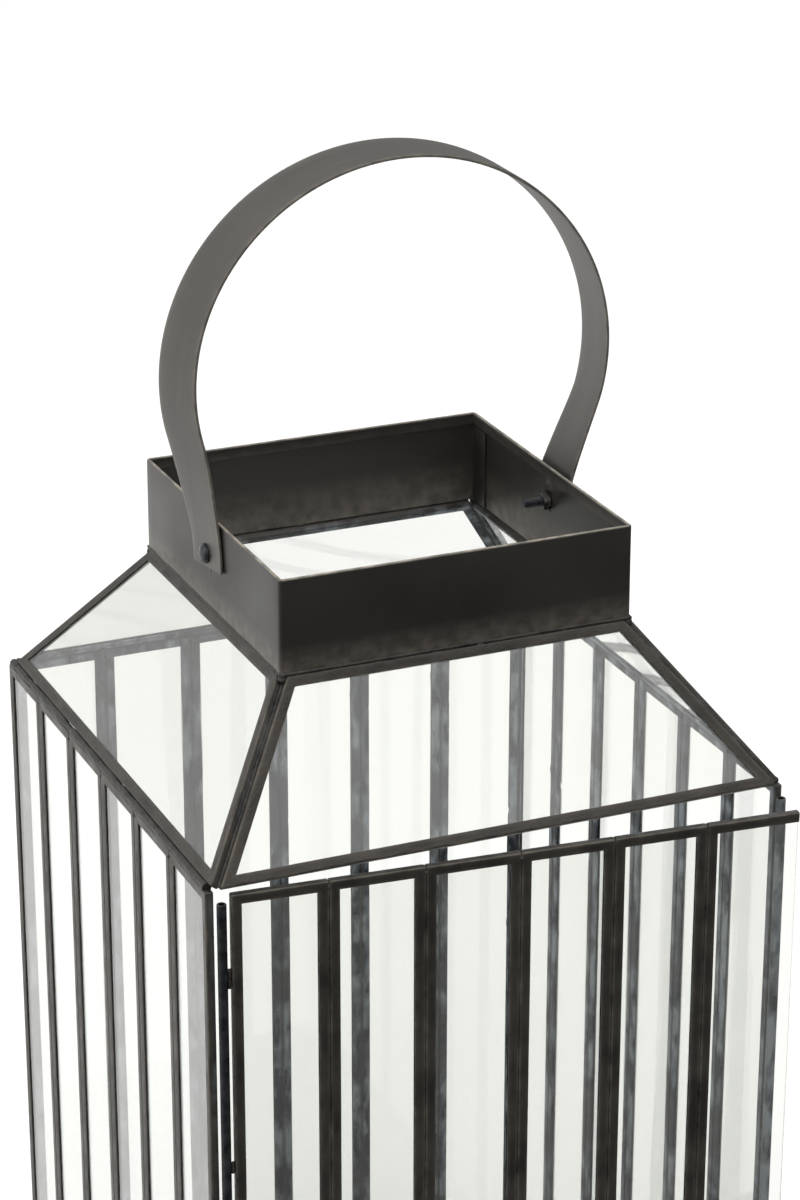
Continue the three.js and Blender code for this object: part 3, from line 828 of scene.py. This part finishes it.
collar_half = (collar_high.x - collar_low.x) / 2
corners = ((-1, -1), (1, -1), (1, 1), (-1, 1))
square = [Vector((sx * collar_half, sy * collar_half)) for sx, sy in corners]
collar = folded("collar_sheet", square, 2 * mm, collar_section(collar_high.z - collar_low.z),
                spacing=6 * mm)
collar.data.transform(Matrix.Translation((0, 0, collar_low.z)))
collar = grown(collar, row_of_strips, Count=1, Pitch=0.0, Wander=0.35 * mm, Seed=31.0,
               Finish=black_sheet)
bolt_hole = 2.3 * mm
axis_left = Vector((-collar_high.x - 10 * mm, 0, bolt_height))
axis_right = Vector((collar_high.x + 10 * mm, 0, bolt_height))
cut(collar, round_bar("hole", bolt_hole, axis_left, axis_right))
kept(collar, "lantern", "blackened_sheet", "collar")

# The lapped end of the strip, a thin tab in the back right corner.
lap_wide = 13 * mm
lap_sheet = 0.8 * mm
lap_at = collar_half - collar_sheet
lap_mesh = bmesh.new()
bmesh.ops.create_cube(lap_mesh, size=1)
lap_top = collar_high.z - hem_fall - 0.6 * mm
lap_scale = Matrix.Diagonal((lap_sheet, lap_wide, lap_top - collar_low.z, 1))
lap_place = Vector((lap_at - lap_sheet / 2 - 0.05 * mm, lap_at - lap_wide / 2 - 0.6 * mm,
                    (lap_top + collar_low.z) / 2))
bmesh.ops.transform(lap_mesh, verts=lap_mesh.verts, matrix=Matrix.Translation(lap_place) @ lap_scale)
bmesh.ops.bevel(lap_mesh, geom=lap_mesh.edges, offset=0.2 * mm, segments=2, affect="EDGES", profile=0.5)
lap = shown("collar_lap", lap_mesh)
lap.data.materials.append(black_sheet)
kept(lap, "lantern", "blackened_sheet")

# ---- Handle strap -------------------------------------------------------------------------------
# A flat steel strap bent cold to a loop, its square-cut feet bolted outside the collar. Rolling
# left fine streaks along it, and its long edges are rubbed a little brighter.

strap_wide = 32 * mm
strap_thick = 1.5 * mm
strap_foot = 5.8 * mm
strap_pad = 3 * mm
loop_bulge = 16.1 * mm
loop_half_height = 86.5 * mm
loop_rise = 69.7 * mm
loop_drift = 7.8 * mm
loop_tilt = math.radians(3)
loop_flare = 1.9 * mm
loop_start = math.radians(15)
handle_lean = math.radians(8)


def loop_point(angle, flare):
    """A point inside the loop, an ellipse pushed over to the right, across and above the bolts."""
    high = (loop_half_height + flare) * math.sin(angle)
    wide = (collar_half + loop_bulge + flare) * math.cos(angle)
    return Vector((loop_drift + math.tan(loop_tilt) * high + wide, loop_rise + high))


def strap_line(flare):
    """One edge of the strap's inside, from its left foot to its right, as points and ways out."""
    pad = collar_half + 0.3 * mm

    def leg(sign):
        angle = -loop_start if sign > 0 else math.pi + loop_start
        joins = loop_point(angle, flare)
        rise = joins.y - strap_pad
        pull = (loop_point(angle + sign * 0.01, flare) - joins).normalized() * rise / 6
        leaves = Vector((sign * pad, strap_pad))
        ends = (leaves, leaves + Vector((0, rise / 6)), joins - pull, joins)
        curve = []
        for k in range(17):
            t = k / 16
            shares = ((1 - t) ** 3, 3 * t * (1 - t) ** 2, 3 * t * t * (1 - t), t ** 3)
            curve.append(sum((end * share for end, share in zip(ends, shares)), Vector((0, 0))))
        return [Vector((sign * pad, -strap_foot)), Vector((sign * pad, 0))] + curve

    sweep = math.pi + 2 * loop_start
    crown = [loop_point(math.pi + loop_start - sweep * k / 150, flare) for k in range(1, 150)]
    line = leg(-1) + crown + leg(1)[::-1]
    out = []
    for i in range(len(line)):
        along = line[min(i + 1, len(line) - 1)] - line[max(i - 1, 0)]
        out.append(Vector((-along.y, along.x)).normalized())
    return line, out


def strap_mesh():
    """The strap's section carried along both edges of its line, its corners and edges eased."""
    front, front_out = strap_line(-loop_flare)
    behind, behind_out = strap_line(loop_flare)
    w, t, ease, roll = strap_wide / 2, strap_thick, 0.35 * mm, 0.1 * mm
    edge = [(roll, w - 0.9 * mm, 0.25), (ease * 0.3 + roll, w - ease * 0.3, 0.9), (ease + roll, w, 1.0),
            (t - ease - roll, w, 1.0), (t - ease * 0.3 - roll, w - ease * 0.3, 0.9),
            (t - roll, w - 0.9 * mm, 0.3), (t, w - 2.6 * mm, 0.1)]
    section = [(0, w - 2.6 * mm, 0.0)] + edge + [(t, w / 2, 0), (t, 0, 0), (t, -w / 2, 0)]
    section += [(depth, -side, worn) for depth, side, worn in reversed(edge)]
    section += [(0, -w + 2.6 * mm, 0.0), (0, -w / 2, 0), (0, 0, 0), (0, w / 2, 0)]
    mesh = bmesh.new()
    edge_layer = mesh.verts.layers.float.new("edge")
    along_layer = mesh.verts.layers.float.new("along")
    rings, travelled = [], 0.0
    for i in range(len(front)):
        if i:
            travelled += (front[i] - front[i - 1]).length
        ring = []
        for depth, side, worn in section:
            share = (side / w + 1) / 2
            spot = front[i].lerp(behind[i], share) + front_out[i].lerp(behind_out[i], share) * depth
            vertex = mesh.verts.new((spot.x, side, spot.y))
            vertex[edge_layer], vertex[along_layer] = worn, travelled
            ring.append(vertex)
        rings.append(ring)
    bridged(mesh, rings)
    mesh.faces.new(rings[0])
    mesh.faces.new(list(reversed(rings[-1])))
    bmesh.ops.recalc_face_normals(mesh, faces=mesh.faces)
    return mesh


def strap_finish():
    made, tree, shader, spot = blank_material("strap_steel")
    parts = new_node(tree, "ShaderNodeSeparateXYZ")
    rolled = new_node(tree, "ShaderNodeCombineXYZ")
    chain(tree, spot, parts.inputs[0], parts.outputs["Y"], rolled.inputs["Y"],
          marked(tree, "along"), rolled.inputs["X"])
    streaks = mottle(tree, rolled.outputs[0], 900, 4, stretch=(0.02, 1, 1))
    clouds = mottle(tree, rolled.outputs[0], 22, 4, stretch=(0.5, 1, 1))
    colour = colour_between(tree, clouds, (0.044, 0.040, 0.035), (0.066, 0.060, 0.052))
    colour = colour_between(tree, product(tree, streaks, 0.2), colour, (0.082, 0.075, 0.066))
    patchy = value_between(tree, mottle(tree, rolled.outputs[0], 160, 3), 0.3, 0.9)
    rubbed = product(tree, marked(tree, "edge"), patchy)
    painted(tree, shader, colour_between(tree, rubbed, colour, (0.19, 0.175, 0.15)),
            value_between(tree, streaks, 0.42, 0.5), streaks, 0.04, 0.0002, metallic=0.5)
    return made


strap = shown("handle_strap_steel", strap_mesh())
strap.data.transform(Matrix.Translation((0, 0, bolt_height)) @ Matrix.Rotation(-handle_lean, 4, "X"))
strap.data.materials.append(strap_finish())
cut(strap, round_bar("hole", bolt_hole, axis_left, axis_right))
kept(strap, "handle", "strap_steel", "handle_strap")

# ---- Bolts and nuts -----------------------------------------------------------------------------
# Two M4 pan-head bolts with their domed heads outside, each through strap and collar into a
# chamfered hexagon nut, its thread left long on the inside.


def hardware_finish():
    made, tree, shader, spot = blank_material("dark_hardware")
    patches = mottle(tree, spot, 210, 4)
    colour = colour_between(tree, patches, (0.018, 0.020, 0.024), (0.050, 0.053, 0.058))
    rubbed = product(tree, marked(tree, "edge"), mottle(tree, spot, 500, 2))
    painted(tree, shader, colour_between(tree, rubbed, colour, (0.16, 0.15, 0.13)),
            value_between(tree, patches, 0.26, 0.44), mottle(tree, spot, 800, 3), 0.2, 0.0003,
            metallic=0.75)
    return made


hardware = hardware_finish()
bolt_radius = 2 * mm
thread_pitch = 0.7 * mm
thread_depth = 0.4 * mm


def turned(profile, sides=40, wobble=None):
    """A closed shape turned about Z from (radius, height) points that start and end on the axis.
    With a wobble, the radius at each angle and height is taken from it instead."""
    mesh = bmesh.new()
    bottom = mesh.verts.new((0, 0, profile[0][1]))
    top = mesh.verts.new((0, 0, profile[-1][1]))
    rings = []
    for radius, height in profile[1:-1]:
        ring = []
        for k in range(sides):
            angle = 2 * math.pi * k / sides
            reach = wobble(radius, height, angle) if wobble else radius
            ring.append(mesh.verts.new((reach * math.cos(angle), reach * math.sin(angle), height)))
        rings.append(ring)
    for k in range(sides):
        n = (k + 1) % sides
        mesh.faces.new((bottom, rings[0][n], rings[0][k]))
        mesh.faces.new((top, rings[-1][k], rings[-1][n]))
        for one, two in zip(rings, rings[1:]):
            mesh.faces.new((one[k], one[n], two[n], two[k]))
    bmesh.ops.recalc_face_normals(mesh, faces=mesh.faces)
    return mesh


def bolt_mesh(head_radius, head_height, length):
    """Head down: a dome, its flat underside, and a threaded shank with a blunt end."""
    dome = [(0.0, -head_height)]
    for k in range(1, 9):
        angle = math.pi / 2 * k / 9
        dome.append((head_radius * math.sin(angle), -head_height * (0.12 + 0.88 * math.cos(angle))))
    dome += [(head_radius, -0.1 * head_height), (head_radius - 0.05 * mm, 0.0), (bolt_radius, 0.0)]
    steps = int(length / thread_pitch * 8)
    shank = [(bolt_radius, length * (k + 1) / steps) for k in range(steps)]

    def thread(radius, height, angle):
        if height <= 0 or radius > bolt_radius + 1e-7:
            return radius
        turnover = (height / thread_pitch - angle / (2 * math.pi)) % 1
        depth = thread_depth * abs(2 * turnover - 1)
        blunt = max(0.0, height - (length - 0.5 * mm))
        return radius - depth - blunt * 0.8
    return turned(dome + shank + [(0.0, length)], 40, thread)


def nut_mesh(across_flats, height, bore):
    """A hexagon nut whose two faces are chamfered to a circle, with a plain bore."""
    sides = 72
    circle = across_flats / 2 * 0.97
    mesh = bmesh.new()
    edge_layer = mesh.verts.layers.float.new("edge")
    columns = []
    for k in range(sides):
        angle = 2 * math.pi * k / sides
        flat = across_flats / 2 / math.cos((angle + math.pi / 6) % (math.pi / 3) - math.pi / 6)
        drop = (flat - circle) * math.tan(math.radians(30))
        column = [(bore, 0.0), (circle, 0.0), (flat, drop),
                  (flat, height - drop), (circle, height), (bore, height)]
        made = [mesh.verts.new((r * math.cos(angle), r * math.sin(angle), z)) for r, z in column]
        for vertex in made[2:4]:
            vertex[edge_layer] = 0.8
        columns.append(made)
    bridged(mesh, columns + columns[:1])
    bmesh.ops.recalc_face_normals(mesh, faces=mesh.faces)
    return mesh


for side, sign in (("left", -1), ("right", 1)):
    head_low, head_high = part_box("handle_bolt_" + side)
    nut_low, nut_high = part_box("handle_nut_" + side)
    head_radius = (head_high.z - head_low.z) / 2
    seat_x = collar_half + strap_thick + 0.6 * mm
    head_height = max(abs(head_low.x), abs(head_high.x)) - seat_x
    shank_end = min(abs(head_low.x), abs(head_high.x))
    inwards = Matrix.Rotation(-sign * math.pi / 2, 4, "Y")
    bolt = shown("bolt_" + side, bolt_mesh(head_radius, head_height, seat_x - shank_end))
    bolt.data.transform(Matrix.Translation((sign * (seat_x - 0.3 * mm), 0, bolt_height)) @ inwards)
    bolt.data.materials.append(hardware)
    kept(bolt, "lantern", "dark_hardware", "handle_bolt_" + side)
    nut_out = max(abs(nut_low.x), abs(nut_high.x))
    nut_thick = nut_high.x - nut_low.x
    nut = shown("nut_" + side, nut_mesh(7 * mm, nut_thick, bolt_radius + 0.05 * mm), sharp=25)
    nut_place = Matrix.Translation((sign * (nut_out + 0.2 * mm), 0, bolt_height))
    nut.data.transform(nut_place @ inwards @ Matrix.Rotation(0.3 * sign, 4, "Z"))
    nut.data.materials.append(hardware)
    kept(nut, "lantern", "dark_hardware", "handle_nut_" + side)

# ---- Hinge --------------------------------------------------------------------------------------
# Three lengths of rolled tube on one wire down the left edge: two soldered to the door, the middle
# one to the side wall. A few lumps of solder bridge each to its stile, with light between them.


def rolled_tube(name, radius, bore, foot, top, seam, finish, bare=0.0, sides=40):
    """Sheet rolled to a tube, its seam left a hair open at one angle, its ends slightly drawn in.
    Bare is how far its outside has kept the tin grey of the cames' inner faces."""
    open_half = 0.12
    angles = [seam + open_half + (2 * math.pi - 2 * open_half) * k / sides for k in range(sides + 1)]
    drawn = 0.18 * mm
    levels = [(foot, drawn), (foot + 0.35 * mm, 0.0)]
    count = max(2, round((top - foot) / (14 * mm)))
    levels += [(foot + (top - foot) * k / count, 0.0) for k in range(1, count)]
    levels += [(top - 0.35 * mm, 0.0), (top, drawn)]
    mesh = bmesh.new()
    edge_layer = mesh.verts.layers.float.new("edge")
    inside_layer = mesh.verts.layers.float.new("inside")
    rings = []
    for height, inset in levels:
        outer, inner = [
            [mesh.verts.new((reach * math.cos(a), reach * math.sin(a), height)) for a in turns]
            for reach, turns in ((radius - inset, angles), (bore, angles[::-1]))
        ]
        for vertex in outer:
            vertex[edge_layer], vertex[inside_layer] = 1.0 if inset else 0.0, bare
        rings.append(outer + inner)
    bridged(mesh, rings)
    size = len(rings[0])
    for ring in (rings[0], rings[-1]):
        for k in range(sides):
            mesh.faces.new((ring[k], ring[k + 1], ring[size - 2 - k], ring[size - 1 - k]))
    bmesh.ops.recalc_face_normals(mesh, faces=mesh.faces)
    made = shown(name, mesh)
    made.data.materials.append(finish)
    return made


def on_axis(piece, place):
    piece.data.transform(Matrix.Translation((place.x, place.y, 0)))
    return piece


barrel_radius = 2 * mm
barrel_bore = 1.15 * mm
for node, body in (("hinge_barrel_upper", "door"), ("hinge_knuckle", "lantern"),
                   ("hinge_barrel_lower", "door")):
    low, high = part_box(node)
    barrel = rolled_tube(node.replace("hinge", "rolled"), barrel_radius, barrel_bore,
                         low.z, high.z, -0.4, hardware)
    kept(on_axis(barrel, hinge_place), body, "dark_hardware", node)
wire_low, wire_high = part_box("hinge_wire")
wire_radius = 1.05 * mm
wire_end = ((0.0, 0.0), (wire_radius * 0.7, 0.1 * mm), (wire_radius, 0.5 * mm))
wire_line = [(reach, wire_low.z + inset) for reach, inset in wire_end]
wire_line += [(reach, wire_high.z - inset) for reach, inset in reversed(wire_end)]
wire = shown("wire_pin", turned(wire_line, 20))
wire.data.materials.append(hardware)
kept(on_axis(wire, hinge_place), "lantern", "dark_hardware", "hinge_wire")

upper_low, upper_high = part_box("hinge_barrel_upper")
lower_low, lower_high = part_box("hinge_barrel_lower")
knuckle_low, knuckle_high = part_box("hinge_knuckle")
bridge_x = (hinge_place.x + barrel_radius + door_low.x) / 2
bridge_ends = ((upper_high.z - 36 * mm, 5), (upper_low.z + 18 * mm, 3),
               (lower_high.z - 24 * mm, 4), (lower_low.z + 14 * mm, 4))
bridge_spots = [shut_to_ajar @ Vector((bridge_x, door_middle + 0.2 * mm, z + k * 1.6 * mm))
                for z, count in bridge_ends for k in range(count)]
kept(drops("door_hinge_solder", bridge_spots, 1.15 * mm, 19.0), "door", "dark_hardware")
knuckle_x = hinge_place.x - barrel_radius * 0.55
knuckle_y = hinge_place.y + barrel_radius * 0.75
knuckle_spots = [Vector((knuckle_x, knuckle_y, z + k * 1.5 * mm))
                 for z in (knuckle_low.z + 9 * mm, knuckle_high.z - 15 * mm) for k in range(5)]
kept(drops("knuckle_solder", knuckle_spots, 1.0 * mm, 23.0), "lantern", "dark_hardware")

# ---- Jamb tube and latch ------------------------------------------------------------------------
# A rolled tube soldered to the right wall's front edge. A bent wire turns in its foot and swings
# across the door to hold it shut.

tube_low, tube_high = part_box("jamb_tube")
tube_axis = (tube_low + tube_high) / 2
jamb_tube = rolled_tube("jamb_rolled_tube", 2.1 * mm, 1.3 * mm, tube_low.z, tube_high.z, 2.4,
                        came_black, bare=0.8)
kept(on_axis(jamb_tube, tube_axis), "lantern", "dark_hardware", "jamb_tube")
jamb_spots = [Vector((tube_axis.x + side * 1.3 * mm, tube_axis.y + 1.75 * mm, z + k * 1.7 * mm))
              for z in (30 * mm, 120 * mm, 215 * mm, 300 * mm, tube_high.z - 9 * mm) for k in range(4)
              for side in (-1, 1)]
kept(drops("jamb_solder", jamb_spots, 0.95 * mm, 29.0), "lantern", "dark_hardware")


def bent_wire(name, points, bends, radius):
    """Round wire through the points, its corners bent on a radius, its ends cut and rounded."""
    path = [points[0]]
    for i in range(1, len(points) - 1):
        corner, before, after = points[i], points[i - 1], points[i + 1]
        to_before, to_after = (before - corner).normalized(), (after - corner).normalized()
        for k in range(9):
            t = k / 8
            start, end = corner + to_before * bends, corner + to_after * bends
            path.append(start.lerp(corner, t).lerp(corner.lerp(end, t), t))
    path.append(points[-1])
    curve = bpy.data.curves.new(name, "CURVE")
    curve.dimensions = "3D"
    curve.bevel_depth, curve.bevel_resolution, curve.use_fill_caps = radius, 6, True
    spline = curve.splines.new("POLY")
    spline.points.add(len(path) - 1)
    for point, spot in zip(spline.points, path):
        point.co = (*spot, 1)
    holder = added(name, curve)
    mesh = bmesh.new()
    mesh.from_mesh(plain_mesh(holder))
    bpy.data.objects.remove(holder)
    bmesh.ops.remove_doubles(mesh, verts=mesh.verts, dist=1e-6)
    bmesh.ops.recalc_face_normals(mesh, faces=mesh.faces)
    made = shown(name, mesh)
    made.data.materials.append(hardware)
    return made


latch_low, latch_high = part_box("latch_wire")
latch_place = Vector(joints["latch_swing"]["pos_m"])
latch_radius = 1 * mm
latch_height = latch_low.z + latch_radius
crank = latch_high.x - latch_radius
latch = bent_wire("latch_bent_wire", [
    Vector((latch_place.x, latch_place.y, latch_high.z)),
    Vector((latch_place.x, latch_place.y, latch_height)),
    Vector((crank, latch_place.y, latch_height)),
    Vector((crank, latch_low.y, latch_height)),
], 1.4 * mm, latch_radius)
kept(latch, "latch", "dark_hardware", "latch_wire")

# ---- Base tray ----------------------------------------------------------------------------------
# A shallow pan of blackened sheet between the walls that the candle stands on. Its rim is folded up
# all round, and the front of it is the sill that the door closes on.

tray_low, tray_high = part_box("base_tray")
tray_floor = 1.2 * mm
tray_rim = 1 * mm
tray_corners = [Vector(spot) for spot in (
    (tray_low.x, tray_low.y), (tray_high.x, tray_low.y),
    (tray_high.x, tray_high.y), (tray_low.x, tray_high.y),
)]
rise = tray_high.z - tray_low.z


def tray_mesh():
    """Up the outside of the rim, over its edge, down inside, and across the floor, which is filled."""
    bend = 1.2 * mm
    turns = [math.radians(22.5 * k) for k in range(5)]
    section = [(bend * (1 - math.sin(a)), bend * (1 - math.cos(a)), 0.3) for a in turns]
    section += [(0.0, rise * 0.5, 0.0), (0.0, rise - 0.4 * mm, 0.5), (0.15 * mm, rise - 0.1 * mm, 1.0),
                (0.5 * mm, rise, 1.0), (0.85 * mm, rise - 0.1 * mm, 1.0), (tray_rim, rise - 0.4 * mm, 0.5),
                (tray_rim, 2.4 * mm, 0.0), (tray_rim + 0.35 * mm, 1.6 * mm, 0.0),
                (tray_rim + 1.2 * mm, tray_floor, 0.0)]
    mesh = bmesh.new()
    edge_layer = mesh.verts.layers.float.new("edge")
    rings = []
    for inset, height, worn in section:
        ring = []
        for corner in tray_corners:
            x = corner.x + (inset if corner.x < 0 else -inset)
            y = corner.y + (inset if corner.y < 0 else -inset)
            vertex = mesh.verts.new((x, y, tray_low.z + height))
            vertex[edge_layer] = worn
            ring.append(vertex)
        rings.append(ring)
    bridged(mesh, rings)
    mesh.faces.new(rings[0])
    mesh.faces.new(rings[-1])
    bmesh.ops.recalc_face_normals(mesh, faces=mesh.faces)
    return mesh


tray = shown("base_pan", tray_mesh(), sharp=50)
tray.data.materials.append(black_sheet)
kept(tray, "lantern", "blackened_sheet", "base_tray")
tray_spots = [Vector((x, y, tray_high.z - 2 * mm))
              for x in (tray_low.x + 0.2 * mm, tray_high.x - 0.2 * mm)
              for y in (-90 * mm, -30 * mm, 30 * mm, 90 * mm)]
kept(drops("tray_solder", tray_spots, 1.3 * mm, 37.0), "lantern", "blackened_sheet")
